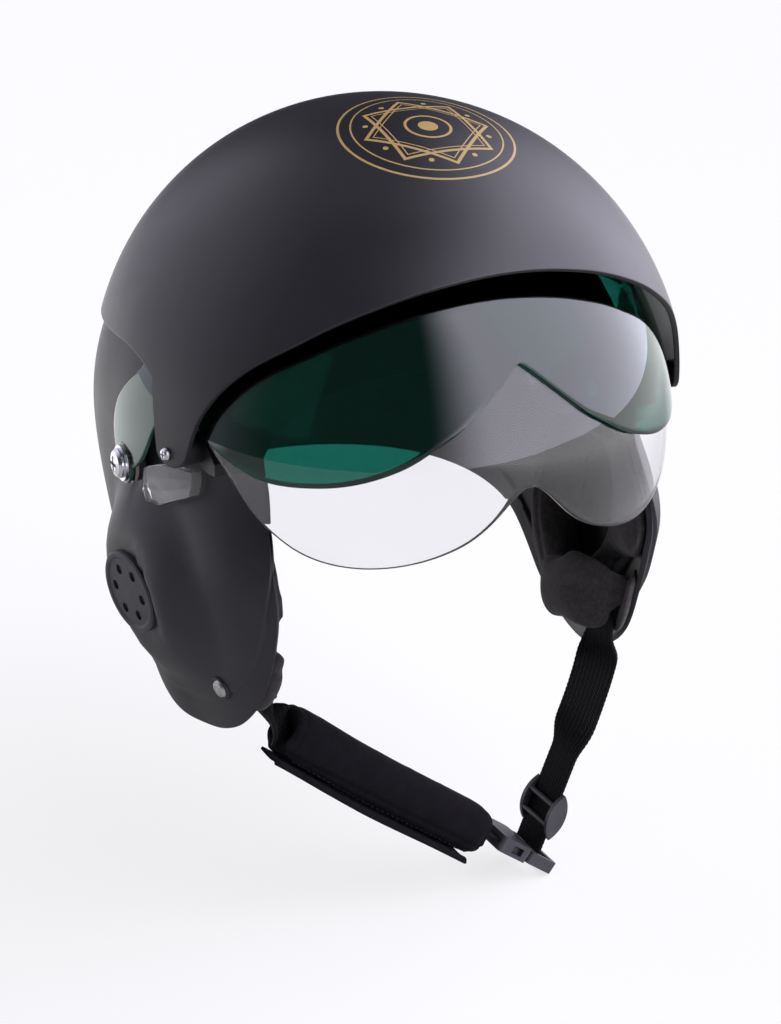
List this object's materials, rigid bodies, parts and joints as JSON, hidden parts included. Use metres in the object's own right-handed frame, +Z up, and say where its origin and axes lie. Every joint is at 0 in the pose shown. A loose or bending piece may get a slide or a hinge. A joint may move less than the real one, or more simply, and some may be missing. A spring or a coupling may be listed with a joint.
{
  "type": "pilot flight helmet",
  "caption": "Matt black flight helmet with a clear and a tinted visor that tip up under a fixed cover, padded ear flaps and a buckled chin strap in a soft sleeve.",
  "frame": {"origin": "midway between the two visor pivots, on their common axis", "axes": "+Z up with the wearer's head level, front towards -Y, the wearer's right towards -X; the X axis is the visor pivot axis"},
  "size_m": [0.268, 0.2796, 0.3647],
  "materials": {
    "shell_paint": "matt painted composite",
    "cover_paint": "matt painted composite",
    "foam": "soft foam under thin cloth",
    "cap_plastic": "matt moulded",
    "hardware_black": "satin moulded",
    "clear_lens": "clear gloss",
    "sun_lens": "dark green gloss",
    "zinc": "bright zinc",
    "webbing": "woven",
    "sleeve_cloth": "closed-cell foam under knitted cloth",
    "buckle_plastic": "fine grained"
  },
  "bodies": {
    "helmet": {"helmet_shell": "shell_paint", "foam_liner": "foam", "visor_cover": "cover_paint", "right_ear_pad": "foam", "left_ear_pad": "foam", "right_ear_cap": "cap_plastic", "left_ear_cap": "cap_plastic", "right_standoff": "hardware_black", "left_standoff": "hardware_black", "right_clear_block": "clear_lens", "left_clear_block": "clear_lens", "tab_screws": "zinc", "pivot_screws": "zinc", "pivot_washers": "zinc", "pivot_collars": "hardware_black", "pivot_spacers": "hardware_black", "pivot_nuts": "zinc", "strap_rivets": "zinc", "right_strap_anchor": "hardware_black", "left_strap_anchor": "hardware_black", "strap_pins": "zinc"},
    "sun_visor": {"sun_visor": "sun_lens"},
    "clear_visor": {"clear_visor": "clear_lens"},
    "chin_strap": {"right_strap": "webbing", "chin_pad": "sleeve_cloth", "chin_pad_flap": "sleeve_cloth", "buckle_socket": "buckle_plastic", "left_strap": "webbing"},
    "plug": {"buckle_plug": "buckle_plastic"},
    "slider": {"strap_slider": "buckle_plastic"}
  },
  "joints": [
    {"name": "sun_visor_tilt", "type": "hinge", "parent": "helmet", "child": "sun_visor", "pos_m": [0, 0, 0], "axis": [-1, 0, 0], "range_deg": [0, 40]},
    {"name": "clear_visor_tilt", "type": "hinge", "parent": "helmet", "child": "clear_visor", "pos_m": [0, 0, 0], "axis": [-1, 0, 0], "range_deg": [0, 40]},
    {"name": "chin_strap_swing", "type": "hinge", "parent": "helmet", "child": "chin_strap", "pos_m": [0, -0.04991, -0.09314], "axis": [-1, 0, 0], "range_deg": [-20, 35]},
    {"name": "buckle_release", "type": "slide", "parent": "chin_strap", "child": "plug", "axis": [0.7955, 0, -0.606], "range_m": [0, 0.013]},
    {"name": "slider_adjust", "type": "slide", "parent": "chin_strap", "child": "slider", "axis": [0.3758, 0, 0.9267], "range_m": [0, 0.022]}
  ]
}
